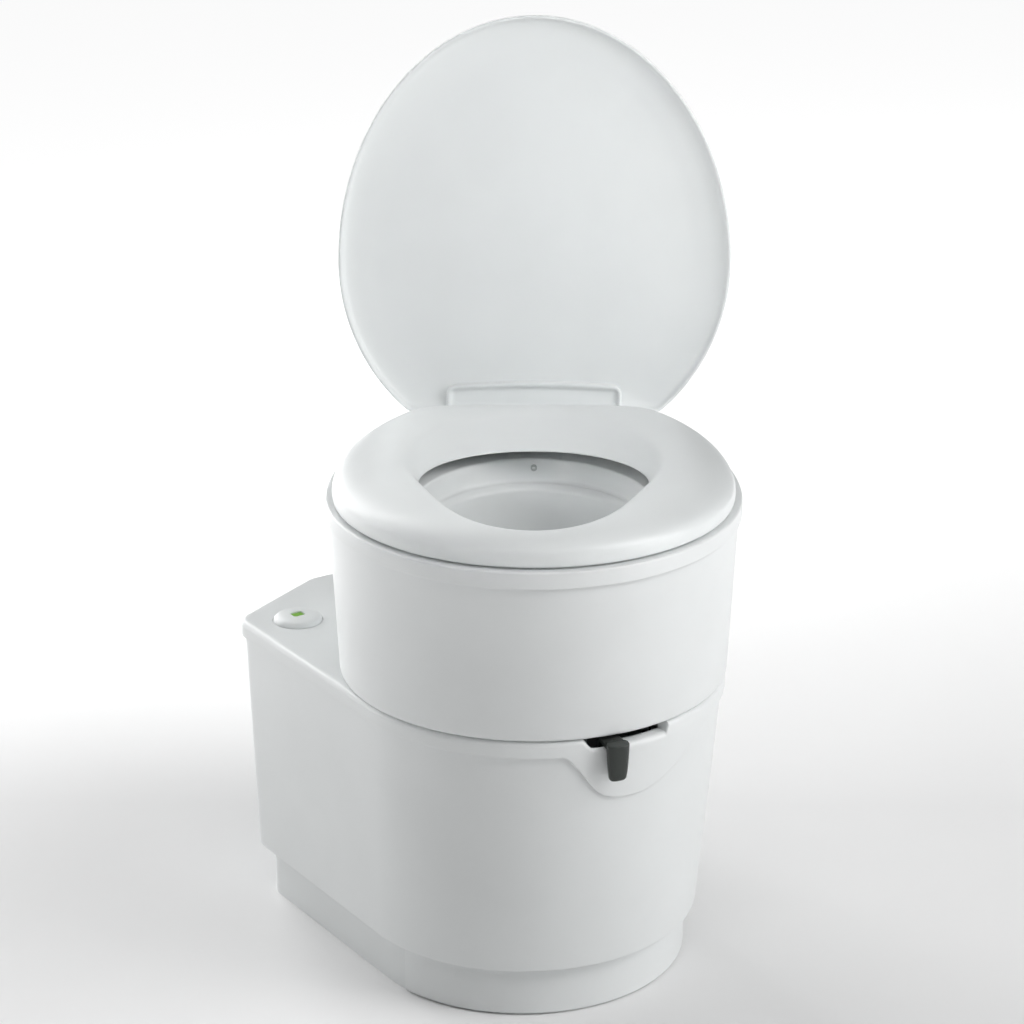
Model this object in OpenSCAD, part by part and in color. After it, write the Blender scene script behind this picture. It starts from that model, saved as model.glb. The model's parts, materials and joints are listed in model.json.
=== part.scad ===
// Cassette toilet with a swivelling bowl. Millimetres.
// Origin on the floor under the bowl's swivel axis, Z up, housing front towards -Y.
// Everything is drawn as photographed: bowl turned, lid open, seat down, waste tank in.

/* [Housing] */
// Height of the deck the bowl turns on
deck_z = 296.3; // [280:0.1:320]
// Radius of the housing's round front at deck level
deck_r = 180.6; // [170:0.1:190]
// Height of the band round the deck
band_h = 16; // [10:0.5:24]
// Height of the recessed plinth
plinth_h = 53; // [40:0.5:70]
// Wall thickness of the housing mouldings
wall = 3; // [2:0.1:5]
// How far the lever's lobe drops below the band
lobe_drop = 49; // [35:0.5:52]

/* [Bowl] */
// Turn of the bowl about the swivel axis, from straight ahead
bowl_turn = -34.2; // [-90:0.1:90]
// Height of the bowl casing's top
casing_z = 452; // [430:0.5:470]
// Half width of the rim trim
rim_hw = 192; // [185:0.5:200]
// Half length of the rim trim
rim_hl = 207; // [195:0.5:215]
// Radius of the bowl's outlet
outlet_r = 42; // [36:0.5:44]

/* [Seat and lid] */
// Height of the seat's crest
crest_z = 496; // [490:0.5:505]
// Half width of the seat
seat_hw = 190; // [180:0.5:195]
// Half width of the lid
lid_hw = 193; // [185:0.5:200]
// How far the lid stands open
lid_open = 98; // [90:1:105]

/* [Waste tank] */
// Height of the tank's top
tank_z = 250; // [230:1:252]
// Wall thickness of the tank
tank_wall = 3.5; // [2.5:0.1:5]
// Radius of the tank's wheels
wheel_r = 17.5; // [14:0.5:20]

/* [Lever gear] */
// Gear module
gear_m = 4; // [3:0.5:4]
// Teeth on the blade's pinion
pinion_n = 16; // [16:1:20]
// Gear ratio between the lever and the blade
gear_ratio = 4; // [4:1:5]

/* [Hidden] */
$fn = 96;
eps = 0.01;

white = [0.93, 0.94, 0.94];
shade = [0.86, 0.87, 0.87];
charcoal = [0.2, 0.21, 0.22];
steel = [0.72, 0.73, 0.75];
rubber = [0.12, 0.12, 0.13];
grey = [0.55, 0.57, 0.58];
green = [0.25, 0.75, 0.2];

band_z = deck_z - band_h;
pan_t = 4;
hinge_y = 200;
hinge_z = 473;
pinion_y = -gear_m * pinion_n * (gear_ratio - 1) / 2;
outlet_z = 268.6;
turret_z = deck_z + 1.2;
spout = [92, 244];
ledge_z = 190;
axle_y = -55;
axle_z = pan_t + wheel_r + 0.3;
pivot_z = 150;
inlet_z = 180;
button_at = [-132, 215];
screw_x = 118;
screw_y1 = 8;
screw_y2 = 228;
gear_z = 253;

// Plan of the housing: round front, straight sides, rounded corners, bowed back.
// d shrinks it all round, yc is the centre of the front arc.
module plan_discs(r, yc, hw, yk, d = 0) {
    translate([0, yc, 0]) cylinder(r = r - d, h = eps);
    for (s = [-1, 1]) {
        translate([s * (hw - 24), yk - 26, 0]) cylinder(r = 24 - d, h = eps, $fn = 48);
        translate([s * 62, yk + 24, 0]) cylinder(r = 20 - d, h = eps, $fn = 48);
    }
}

// The same plan for upright walls.
module plan_2d(r, yc, hw, yk, d = 0) {
    hull() {
        translate([0, yc]) circle(r = r - d);
        for (s = [-1, 1]) {
            translate([s * (hw - 24), yk - 26]) circle(r = 24 - d, $fn = 48);
            translate([s * 62, yk + 24]) circle(r = 20 - d, $fn = 48);
        }
    }
}

module deck_plan(d = 0) {
    hull() {
        circle(r = deck_r - d);
        for (s = [-1, 1]) {
            translate([s * (deck_r - 24.4), 235]) circle(r = 24 - d, $fn = 48);
            translate([s * 62, 285]) circle(r = 20 - d, $fn = 48);
        }
    }
}

// Egg outline: half width hw, widest at y0, front and rear lengths, flat across the rear at cut.
function egg(hw, y0, front, rear, cut) = [
    for (i = [0 : 71]) let (a = i * 5)
        [hw * cos(a), min(cut, y0 + (a < 180 ? rear : front) * sin(a))]];

module egg_slice(z, hw, y0, front, rear, cut, h = eps) {
    translate([0, 0, z]) linear_extrude(h) polygon(egg(hw, y0, front, rear, cut));
}

module bowl_frame() {
    rotate([0, 0, bowl_turn]) children();
}

module lid_frame() {
    bowl_frame() translate([0, hinge_y, hinge_z]) rotate([-lid_open, 0, 0])
        translate([0, -hinge_y, -hinge_z]) children();
}

// A block given by its two corners.
module block(a, b) {
    translate(a) cube(b - a);
}

module x_rod(r, x0, x1, y, z) {
    translate([x0, y, z]) rotate([0, 90, 0]) cylinder(r = r, h = x1 - x0);
}

module y_rod(r, x, y0, y1, z) {
    translate([x, y0, z]) rotate([-90, 0, 0]) cylinder(r = r, h = y1 - y0);
}

module tube(ro, ri, z0, z1) {
    translate([0, 0, z0]) difference() {
        cylinder(r = ro, h = z1 - z0);
        translate([0, 0, -1]) cylinder(r = ri, h = z1 - z0 + 2);
    }
}

// Arc wall between two angles, measured from the front (-Y) towards +X.
module arc_wall(ro, ri, z0, z1, a0, a1) {
    translate([0, 0, z0]) rotate([0, 0, a0 - 90]) rotate_extrude(angle = a1 - a0)
        translate([ri, 0]) square([ro - ri, z1 - z0]);
}

// Involute gear outline; slack thins each tooth, add and ded are its height above and below pitch.
function inv(a) = tan(a) * 180 / PI - a;
function half_tooth(n, rp, r, slack) =
    let (rb = rp * cos(20), q = max(r, rb + 0.001))
    90 / n + inv(20) - inv(acos(rb / q)) - slack / rp * 180 / PI;
function gear_pts(n, rp, add, ded, slack) = [
    for (t = [0 : n - 1])
        each concat(
            [for (i = [0 : 5]) let (r = rp - ded + (add + ded) * i / 5,
                a = t * 360 / n - half_tooth(n, rp, r, slack)) [r * cos(a), r * sin(a)]],
            [for (i = [5 : -1 : 0]) let (r = rp - ded + (add + ded) * i / 5,
                a = t * 360 / n + half_tooth(n, rp, r, slack)) [r * cos(a), r * sin(a)]])];

// ---------------------------------------------------------------- housing

module floor_pan() {
    color(shade) difference() {
        linear_extrude(plinth_h + wall) plan_2d(154.5, 18.6, 157, 249);
        translate([0, 0, pan_t]) linear_extrude(plinth_h) plan_2d(154.5, 18.6, 157, 249, wall);
        block([-151, 240, pan_t], [151, 300, plinth_h + 4]);
        for (x = [-screw_x, screw_x], y = [screw_y1, screw_y2])
            translate([x, y, -1]) cylinder(r = 2.75, h = 10);
    }
}

module plinth_front() {
    color(white) translate([0, 18.6, 0]) arc_wall(158.1, 154.55, 2, plinth_h - 0.3, -78, 78);
}

// The shell's tapering outside, d inwards of it.
module shell_form(d) {
    hull() {
        translate([0, 0, plinth_h - (d > 0 ? 1 : 0)]) plan_discs(167.8, 16.5, 169, 258, d);
        translate([0, 0, band_z + 8 + (d > 0 ? 1 : 0)]) plan_discs(178, 0, 177.6, 258.4, d);
    }
}

module housing_shell() {
    color(white) difference() {
        union() {
            difference() {
                shell_form(0);
                shell_form(wall);
            }
            translate([0, 0, plinth_h]) linear_extrude(wall) difference() {
                plan_2d(167.8, 16.5, 169, 258);
                plan_2d(154.55, 18.6, 157.05, 249.05);
            }
        }
        block([-155, 200, plinth_h - 1], [155, 320, band_z + 9]);
        block([150, 236, inlet_z - 14], [170.5, 320, inlet_z + 14]);
        arc_wall(190, 165, 284, 300, -20.3, 8.2);
    }
}

// Share of the lobe's drop at an angle from the front: steep on the left, drawn out on the right.
lobe_at = -2;
lobe_left = 24;
lobe_right = 39;
function lobe_edge(a) =
    let (u = a < lobe_at ? pow((lobe_at - a) / lobe_left, 1.9) : (a - lobe_at) / lobe_right)
    (1 + cos(180 * u)) / 2;

module lobe_panel() {
    intersection() {
        difference() {
            shell_form(-3.2);
            shell_form(-0.25);
        }
        translate([0, -140, 0]) rotate([90, 0, 0]) linear_extrude(60) polygon(concat(
            [for (i = [0 : 32]) let (a = lobe_at - lobe_left + (lobe_left + lobe_right) * i / 32)
                [deck_r * sin(a), band_z + 0.5 - lobe_drop * lobe_edge(a)]],
            [[deck_r * sin(lobe_at + lobe_right), band_z + 2],
             [deck_r * sin(lobe_at - lobe_left), band_z + 2]]));
    }
}

module deck_cover() {
    color(white) difference() {
        union() {
            difference() {
                translate([0, 0, band_z]) linear_extrude(band_h) deck_plan();
                translate([0, 0, band_z - 1]) linear_extrude(band_h + 1 - 3.3) deck_plan(2.4);
            }
            lobe_panel();
        }
        translate([0, 0, band_z]) cylinder(r = 84, h = 40);
        arc_wall(190, 170, 286, deck_z + 1, -20.3, 8.2);
        translate([button_at.x, button_at.y, band_z]) cylinder(r = 24.5, h = 40);
        for (a = [0 : 60 : 300]) rotate([0, 0, a]) translate([94, 0, band_z]) cylinder(r = 1.9, h = 40);
    }
}

module guide_rails() {
    color(grey) for (s = [-1, 1]) {
        block([s * 146 - 3.5, 30, pan_t], [s * 146 + 3.5, 230, 59.4]);
    }
}

module bearing_ring() {
    color(grey) difference() {
        tube(100, 87, deck_z, deck_z + 6.6);
        for (a = [0 : 60 : 300]) rotate([0, 0, a]) translate([94, 0, deck_z - 1]) cylinder(r = 1.9, h = 20);
    }
}

module swivel_retainer() {
    color(grey) difference() {
        tube(110, 87, deck_z + 6.6, deck_z + 9.6);
        for (a = [0 : 60 : 300]) rotate([0, 0, a]) translate([94, 0, deck_z]) cylinder(r = 1.9, h = 20);
    }
}

module retainer_screws() {
    color(steel) for (a = [0 : 60 : 300]) rotate([0, 0, a]) translate([94, 0, 0]) {
        translate([0, 0, deck_z - 3]) cylinder(r = 1.85, h = 12.6, $fn = 32);
        translate([0, 0, deck_z + 9.6]) cylinder(r = 3.6, h = 2.2, $fn = 32);
    }
}

module lever_guides() {
    color(grey) for (a = [-31, 14]) {
        arc_wall(147.5, 144, 250.8, deck_z - 3.3, a, a + 16);
        arc_wall(145, 135, 250.8, 252.6, a, a + 16);
    }
}

module control_board() {
    color(green) translate([button_at.x, button_at.y, 0]) block([-27, -22, 276], [27, 22, 277.6]);
    color(charcoal) translate([button_at.x, button_at.y, 277.6]) cylinder(r = 5, h = 5.2, $fn = 32);
    color(grey) translate([button_at.x, button_at.y, 0]) for (x = [-24.2, 24.2], y = [-18, 18])
        translate([x, y, 277.6]) cylinder(r = 2.6, h = deck_z - 3.3 - 277.6, $fn = 32);
}

module water_valve() {
    color(charcoal) {
        block([154.5, 160, 168], [166.5, 196, 192]);
        translate([160.5, 178, 192]) cylinder(r = 6, h = 20, $fn = 48);
    }
}

module inlet_tail() {
    color(grey) difference() {
        union() {
            y_rod(7, 160.5, 196, 212, inlet_z);
            y_rod(5, 160.5, 212, 240, inlet_z);
        }
        y_rod(3, 160.5, 199, 250, inlet_z);
    }
}

module valve_strap() {
    color(steel) difference() {
        block([153.3, 172, 166.5], [170.2, 184, 193.5]);
        block([154.5, 160, 168], [166.5, 196, 192]);
        translate([160.5, 178, 190]) cylinder(r = 6.1, h = 20, $fn = 48);
    }
}

module flush_button() {
    color(white) translate([button_at.x, button_at.y, 0]) difference() {
        union() {
            rotate_extrude() polygon([[0, 290.4], [24, 290.4], [24, 297], [22.8, 299.6],
                [20, 301.4], [14, 302.4], [0, 302.6]]);
            translate([0, 0, 290.4]) cylinder(r = 26.5, h = 2.4);
            translate([0, 0, 285.4]) cylinder(r = 3.5, h = 6, $fn = 32);
        }
        block([-6.2, -5.2, 300], [5.8, 6.2, 310]);
    }
}

module led_lens() {
    color(green) translate([button_at.x, button_at.y, 0]) block([-6, -5, 300], [5.6, 6, 303.2]);
}

// ---------------------------------------------------------------- lever

lever_a = -10.7;

// Toothed arc on its guides, with a stepped arm that rises and passes out through the slot.
module lever_sector() {
    rp = gear_m * pinion_n * gear_ratio / 2;
    tooth = 360 / (pinion_n * gear_ratio);
    color(grey) {
        difference() {
            arc_wall(143, rp - 2.8, gear_z, gear_z + 7, -7.5 * tooth, 5.5 * tooth);
            translate([0, 0, gear_z - 1]) linear_extrude(9)
                polygon(gear_pts(pinion_n * gear_ratio, rp, 4.4, 4.4, -0.35));
        }
        rotate([0, 0, lever_a - 93]) rotate_extrude(angle = 6) polygon([
            [141, gear_z + 2], [168, gear_z + 2], [168, 288], [185, 288],
            [185, 291.5], [165, 291.5], [165, gear_z + 5], [141, gear_z + 5]]);
    }
}

module lever_grip() {
    color(charcoal) rotate([0, 0, lever_a]) translate([0, -189, 0]) {
        difference() {
            union() {
                translate([0, 0, 261]) scale([1, 0.55, 1]) cylinder(r = 10.4, h = 33.5, $fn = 64);
                translate([0, 0, 261]) scale([1, 0.55, 0.52]) sphere(r = 10.4, $fn = 64);
            }
            block([-10.4, 3.9, 287.9], [10.4, 12, 291.6]);
        }
    }
}

// ---------------------------------------------------------------- bowl

module bowl_casing() {
    color(white) bowl_frame() difference() {
        hull() {
            translate([0, 0, turret_z]) cylinder(r = 181.7, h = eps);
            egg_slice(casing_z - eps, 189, 0, 203, 255, 205);
        }
        hull() {
            translate([0, 0, turret_z + 4]) cylinder(r = 181.7 - wall, h = eps);
            egg_slice(casing_z + 1, 189 - wall, 0, 203 - wall, 255 - wall, 205 - wall);
        }
        translate([0, 0, turret_z - 1]) cylinder(r = 101, h = 10);
    }
}

// Upper wall of the bowl, d outwards of its inner face: wider and longer to the front than the well.
module bowl_upper(d, z0, z1) {
    hull() {
        egg_slice(z0, 108 + d, -20, 132 + d, 128 + d, 300);
        egg_slice(446, 111 + d, -23, 139 + d, 135 + d, 300);
        egg_slice(z1, 113 + d, -25, 141 + d, 139 + d, 300);
    }
}

// Inside of the bowl from the outlet up to its ledge, and the upper wall with its flange.
module bowl_basin() {
    color(white) bowl_frame() union() {
        rotate_extrude() polygon([
            [outlet_r, outlet_z], [outlet_r, 312], [50, 322], [66, 338], [84, 372], [93, 410],
            [96, 434], [102, 438.6], [106, 438.6], [106, 435.6], [99.5, 434], [96.5, 409],
            [87.5, 370], [69, 335.5], [53, 319.5], [outlet_r + 4, 310.5], [outlet_r + 4, outlet_z]]);
        difference() {
            union() {
                bowl_upper(3, 435.6, 460);
                translate([0, 0, 457]) cylinder(r = 180.5, h = 3);
            }
            bowl_upper(0, 438.6, 461);
            translate([0, 0, 430]) cylinder(r = 102, h = 12);
            y_rod(3, 0, 105, 125, 451.5);
        }
    }
}

module rim_ring() {
    color(white) bowl_frame() difference() {
        egg_slice(casing_z, rim_hw, 0, 206, 262, 209, 20);
        translate([0, 0, casing_z - 1]) cylinder(r = 181, h = 9);
        translate([0, 0, casing_z - 1]) cylinder(r = 176.5, h = 22);
        block([-100, 189, 463], [100, 230, 473]);
    }
}

module rinse_nozzle() {
    color(grey) bowl_frame() difference() {
        union() {
            y_rod(2.95, 0, 109, 168, 451.5);
            translate([0, 168, 436]) cylinder(r = 4.95, h = 20, $fn = 48);
        }
        y_rod(1.8, 0, 108, 166, 451.5);
    }
}

module bowl_hose() {
    color(shade) bowl_frame() translate([0, 168, turret_z + 4.2])
        tube(7, 5.02, 0, 138);
}

module hinge_bracket() {
    color(white) bowl_frame() difference() {
        union() {
            block([-98, 190.5, 463], [98, 206, 466]);
            for (s = [-1, 1]) {
                block([s * 73.5 - 4.5, 193, 464], [s * 73.5 + 4.5, 206, hinge_z]);
                x_rod(7, s * 73.5 - 4.5, s * 73.5 + 4.5, hinge_y, hinge_z);
            }
        }
        x_rod(3, -99, 99, hinge_y, hinge_z);
        for (s = [-1, 1]) translate([s * 40, 198, 460]) cylinder(r = 2.1, h = 10, $fn = 32);
    }
}

module hinge_screws() {
    color(steel) bowl_frame() for (s = [-1, 1]) translate([s * 40, 198, 0]) {
        translate([0, 0, 463.2]) cylinder(r = 2.05, h = 2.8, $fn = 32);
        translate([0, 0, 466]) cylinder(r = 3.8, h = 2.2, $fn = 32);
    }
}

module hinge_pins() {
    color(steel) bowl_frame() for (s = [-1, 1]) {
        x_rod(2.98, s * 74 - 17, s * 74 + 17, hinge_y, hinge_z);
        x_rod(4.6, s * 91.5 - 1.5, s * 91.5 + 1.5, hinge_y, hinge_z);
    }
}

// ---------------------------------------------------------------- seat

module seat_outer(d, z0) {
    hull() {
        egg_slice(z0, seat_hw - d, 0, 200 - d, 248 - d, 190 - d, 479 - z0);
        egg_slice(487 - d, seat_hw - 6 - d, 0, 194 - d, 242 - d, 188 - d);
        egg_slice(493 - d, seat_hw - 17 - d, 0, 183 - d, 231 - d, 183 - d);
        egg_slice(crest_z - d, seat_hw - 36 - d, 0, 164 - d, 212 - d, 172 - d);
    }
}

module seat_hole(d) {
    hull() {
        egg_slice(470, 106 + d, -24, 120 + d, 119 + d, 300);
        egg_slice(486, 109 + d, -16, 130 + d, 148 + d, 300);
        egg_slice(crest_z + 1, 121 + d, -10, 148 + d, 168 + d, 300);
    }
}

buffer_at = [[157, -95], [-157, -95], [155, 110], [-155, 110]];

module seat() {
    color(white) bowl_frame() difference() {
        union() {
            difference() {
                seat_outer(0, 474.6);
                difference() {
                    seat_outer(3.5, 470);
                    seat_hole(4);
                    for (p = buffer_at) translate([p.x, p.y, 470]) cylinder(r = 8, h = 40, $fn = 48);
                }
            }
            for (s = [-1, 1]) {
                x_rod(6.4, s * 62 - 5, s * 62 + 5, hinge_y, hinge_z);
                block([s * 62 - 5, 184, 474.6], [s * 62 + 5, hinge_y, 479.4]);
            }
        }
        seat_hole(0);
        x_rod(3.05, -80, 80, hinge_y, hinge_z);
    }
}

module seat_buffers() {
    color(rubber) bowl_frame() for (p = buffer_at)
        translate([p.x, p.y, 472.2]) cylinder(r = 6, h = 2.4, $fn = 48);
}

// ---------------------------------------------------------------- lid

module lid() {
    color(white) lid_frame() difference() {
        hull() {
            egg_slice(494, lid_hw, 49, 239, 196, 199);
            egg_slice(503, lid_hw - 1.5, 49, 237.5, 194.5, 199);
            egg_slice(511, lid_hw - 9, 49, 230, 187, 196);
            egg_slice(515, lid_hw - 30, 49, 209, 166, 187);
        }
        hull() {
            egg_slice(493.9, lid_hw - 4, 49, 235, 192, 195);
            egg_slice(498, lid_hw - 9, 49, 229, 187, 193);
            egg_slice(506, lid_hw - 33, 49, 208, 164, 186);
            egg_slice(508.5, lid_hw - 60, 49, 180, 136, 176);
        }
        block([-88, 165.3, 493], [88, 202, 506]);
    }
}

module lid_hinge_bar() {
    color(white) lid_frame() difference() {
        union() {
            block([-78, 171, 498.5], [78, 183.5, 506]);
            x_rod(3.4, -78, 78, 175, 500);
            for (s = [-1, 1]) {
                x_rod(6.4, s * 83 - 4, s * 83 + 4, hinge_y, hinge_z);
                block([s * 83 - 4, 194, hinge_z], [s * 83 + 4, 206, 501.5]);
                block([s * 83 - 4, 168, 496.5], [s * 83 + 4, 206, 501.5]);
            }
            block([-87, 165.5, 496.5], [87, 168, 506]);
        }
        x_rod(3.05, -90, 90, hinge_y, hinge_z);
    }
}

// ---------------------------------------------------------------- waste tank

module tank_plan(d = 0) {
    hull() {
        translate([0, 6]) circle(r = 151 - d);
        for (s = [-1, 1]) {
            translate([s * 138.6, 238]) circle(r = 12 - d, $fn = 48);
            translate([s * 50, 276]) circle(r = 12 - d, $fn = 48);
        }
    }
}

module tank_low_plan(d = 0) {
    hull() {
        translate([0, 8]) circle(r = 126 - d);
        for (s = [-1, 1]) {
            translate([s * 126, 70]) circle(r = 12 - d, $fn = 48);
            translate([s * 126, 238]) circle(r = 12 - d, $fn = 48);
            translate([s * 50, 276]) circle(r = 12 - d, $fn = 48);
        }
    }
}

module tank_body() {
    t = tank_wall;
    color(shade) difference() {
        union() {
            translate([0, 0, 60]) linear_extrude(tank_z - 60) tank_plan();
            translate([0, 0, 16]) linear_extrude(45) tank_low_plan();
            tube(56, outlet_r + 4, tank_z - 1, 262);
        }
        difference() {
            union() {
                translate([0, 0, 60 + t]) linear_extrude(tank_z - 60 - 2 * t) tank_plan(t);
                translate([0, 0, 16 + t]) linear_extrude(50) tank_low_plan(t);
            }
            block([-160, 208 - t, ledge_z - t], [160, 300, 300]);
            block([-66, 270, 84], [66, 300, 170]);
            for (s = [-1, 1]) block([s * 78 - 14, axle_y - 26, 0], [s * 78 + 14, axle_y + 26, 47]);
        }
        block([-160, 208, ledge_z], [160, 300, 300]);
        block([-62, 274, 88], [62, 300, 166]);
        for (s = [-1, 1]) {
            x_rod(22, s * 78 - 10, s * 78 + 10, axle_y, axle_z);
            block([s * 78 - 10, axle_y - 22, 0], [s * 78 + 10, axle_y + 22, axle_z]);
            x_rod(4.05, s * 78 - 12.4, s * 78 + 12.4, axle_y, axle_z);
        }
        cylinder(r = outlet_r + 4, h = 300);
        translate([0, pinion_y, tank_z - 10]) cylinder(r = 6.08, h = 20);
        translate([spout.x, spout.y, ledge_z - 10]) cylinder(r = 20, h = 20);
        translate([-122, 236, ledge_z - 10]) cylinder(r = 7, h = 20);
        for (s = [-1, 1]) x_rod(3.08, s * 61.5 - 4, s * 61.5 + 4, 283, pivot_z);
    }
}

module lip_seal() {
    color(rubber) {
        tube(54, outlet_r + 0.5, 262, 268);
        tube(outlet_r + 3.9, outlet_r + 0.5, 245.4, 262);
    }
}

module cover_rails() {
    color(grey) for (s = [-1, 1]) translate([s * 64.25, 0, 0]) {
        block([-1.75, -56, tank_z], [1.75, 178, 274]);
        block([s > 0 ? -6 : 0, -56, 266.5], [s > 0 ? 0 : 6, 178, 268.8]);
        block([s > 0 ? -6 : 0, -56, 272.2], [s > 0 ? 0 : 6, 178, 274]);
    }
}

module sliding_cover() {
    color(charcoal) {
        block([-61.8, 64, 269.2], [61.8, 172, 271.8]);
        block([-40, 160, 271.8], [40, 166, 276]);
    }
}

module blade() {
    color(shade) difference() {
        translate([0, 0, 241]) linear_extrude(3.6) {
            circle(r = 47);
            translate([0, pinion_y]) circle(r = 16);
            polygon([[-15, pinion_y + 2], [15, pinion_y + 2], [40, -20], [-40, -20]]);
        }
        translate([0, pinion_y, 240]) cylinder(r = 6, h = 6);
    }
}

module blade_pinion() {
    color(grey) translate([0, pinion_y, 0]) {
        translate([0, 0, 241]) cylinder(r = 5.99, h = gear_z + 4 - 241);
        translate([0, 0, gear_z]) linear_extrude(7)
            polygon(gear_pts(pinion_n, gear_m * pinion_n / 2, 2.8, 4.6, 0.35));
    }
}

module pour_spout() {
    color(grey) translate([spout.x, spout.y, 0]) difference() {
        union() {
            translate([0, 0, ledge_z - tank_wall + 0.2]) cylinder(r = 19.92, h = 30);
            translate([0, 0, ledge_z + 4.4]) cylinder(r = 23, h = 28);
            translate([0, 0, 222]) sphere(r = 23);
            x_rod(23, -170, 0, 0, 222);
        }
        translate([0, 0, ledge_z - 10]) cylinder(r = 17, h = 42);
        translate([0, 0, 222]) sphere(r = 19.5);
        x_rod(19.5, -171, 0, 0, 222);
    }
}

module spout_collar() {
    color(charcoal) translate([spout.x, spout.y, 0]) tube(27, 20, ledge_z, ledge_z + 4);
}

module spout_cap() {
    color(charcoal) translate([spout.x, spout.y, 0]) difference() {
        union() {
            x_rod(27, -186, -166, 0, 222);
            for (a = [0 : 30 : 330]) translate([-185, 26.6 * cos(a), 222 + 26.6 * sin(a)])
                rotate([0, 90, 0]) cylinder(r = 1.8, h = 18, $fn = 16);
        }
        x_rod(23.08, -182, -165, 0, 222);
    }
}

module vent_bush() {
    color(grey) translate([-122, 236, 0]) {
        tube(13, 7, ledge_z, ledge_z + 6);
    }
}

module vent_button() {
    color(green) translate([-122, 236, 0]) {
        translate([0, 0, ledge_z - 2]) cylinder(r = 6.92, h = 14);
        translate([0, 0, ledge_z + 12]) cylinder(r = 10, h = 3.2);
    }
}

module tank_handle() {
    color(charcoal) {
        for (s = [-1, 1]) {
            x_rod(3, s * 58 - 7, s * 58 + 7, 283, pivot_z);
            x_rod(6, s * 55 - 4, s * 55 + 4, 283, pivot_z);
            translate([s * 55, 283, 108]) cylinder(r = 4, h = pivot_z - 108);
            translate([s * 55, 283, 108]) sphere(r = 4);
        }
        x_rod(4, -55, 55, 283, 108);
        x_rod(7, -42, 42, 283, 108);
    }
}

module wheel_axle() {
    color(steel) for (s = [-1, 1]) x_rod(3.98, s * 78 - 12, s * 78 + 12, axle_y, axle_z);
}

module wheels() {
    color(rubber) for (s = [-1, 1]) difference() {
        x_rod(wheel_r, s * 78 - 7, s * 78 + 7, axle_y, axle_z);
        x_rod(3.98, s * 78 - 8, s * 78 + 8, axle_y, axle_z);
    }
}

module float_bracket() {
    color(grey) difference() {
        for (x = [64, 76]) block([x - 1.5, 82, 226], [x + 1.5, 98, tank_z - tank_wall]);
        x_rod(2.05, 60, 80, 90, 231);
    }
}

module float_arm() {
    color(grey) {
        x_rod(2, 61, 79, 90, 231);
        x_rod(5, 66.5, 73.5, 90, 231);
        translate([70, 90, 168]) cylinder(r = 2.5, h = 60);
    }
}

module float_bulb() {
    color(white) translate([70, 90, 138]) cylinder(r = 15, h = 30);
}

floor_pan();
plinth_front();
housing_shell();
deck_cover();
guide_rails();
bearing_ring();
swivel_retainer();
retainer_screws();
lever_guides();
control_board();
water_valve();
inlet_tail();
valve_strap();
flush_button();
led_lens();
lever_sector();
lever_grip();
bowl_casing();
bowl_basin();
rim_ring();
rinse_nozzle();
bowl_hose();
hinge_bracket();
hinge_screws();
hinge_pins();
seat();
seat_buffers();
lid();
lid_hinge_bar();
tank_body();
lip_seal();
cover_rails();
sliding_cover();
blade();
blade_pinion();
pour_spout();
spout_collar();
spout_cap();
vent_bush();
vent_button();
tank_handle();
wheel_axle();
wheels();
float_bracket();
float_arm();
float_bulb();
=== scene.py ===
import json
import math

import bmesh
import bpy
from mathutils import Matrix, Vector


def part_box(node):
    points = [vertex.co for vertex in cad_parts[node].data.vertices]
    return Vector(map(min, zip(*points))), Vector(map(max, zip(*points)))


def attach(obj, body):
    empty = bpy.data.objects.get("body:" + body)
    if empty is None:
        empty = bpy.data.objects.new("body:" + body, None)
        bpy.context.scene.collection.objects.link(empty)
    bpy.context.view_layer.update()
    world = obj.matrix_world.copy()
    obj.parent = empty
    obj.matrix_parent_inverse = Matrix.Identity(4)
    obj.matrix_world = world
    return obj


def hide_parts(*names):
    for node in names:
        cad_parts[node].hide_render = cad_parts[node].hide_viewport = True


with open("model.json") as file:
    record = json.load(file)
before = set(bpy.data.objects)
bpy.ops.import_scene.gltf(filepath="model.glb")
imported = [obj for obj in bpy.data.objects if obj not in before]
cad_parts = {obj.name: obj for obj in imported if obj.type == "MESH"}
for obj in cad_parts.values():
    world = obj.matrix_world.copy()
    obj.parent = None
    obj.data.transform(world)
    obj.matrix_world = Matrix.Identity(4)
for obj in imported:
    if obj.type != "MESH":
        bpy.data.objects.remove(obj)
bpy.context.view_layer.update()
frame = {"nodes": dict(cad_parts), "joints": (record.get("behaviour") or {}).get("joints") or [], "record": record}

# Lengths below are in millimetres, as in the part's own drawing; MM turns them into metres.
MM = 0.001
AROUND = 240                    # columns round a closed moulding
FRONT = math.radians(-90)       # the housing's front, as a direction in plan
joints = {j["name"]: j for j in frame["joints"]}
slot_of = {s["node"]: s["material_slot"] for s in frame["record"]["subparts"]}


def top(node):
    """A node's highest point."""
    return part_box(node)[1].z / MM


def foot(node):
    """A node's lowest point."""
    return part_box(node)[0].z / MM


# ---------------------------------------------------------------- places taken from the frame

hinge_axis = Vector(joints["seat_hinge"]["axis"])
hinge_at = Vector(joints["seat_hinge"]["pos_m"]) / MM
BOWL_TURN = math.atan2(-hinge_axis.y, -hinge_axis.x)
LID_OPEN = math.radians(-joints["lid_hinge"]["range_deg"][0])
BOWL = Matrix.Rotation(BOWL_TURN, 4, "Z")
hinge = BOWL.inverted() @ hinge_at
LID = (BOWL @ Matrix.Translation(hinge) @ Matrix.Rotation(-LID_OPEN, 4, "X")
       @ Matrix.Translation(-hinge))
STILL = Matrix.Identity(4)

SHELL_Z = foot("housing_shell")
DECK_Z = top("deck_cover")
DECK_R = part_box("deck_cover")[1].x / MM
BAND_H = 16                     # height of the band round the deck's edge
TURRET_Z = foot("bowl_casing")
CASING_Z = top("bowl_casing")
RIM_Z = top("rim_ring")

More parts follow.
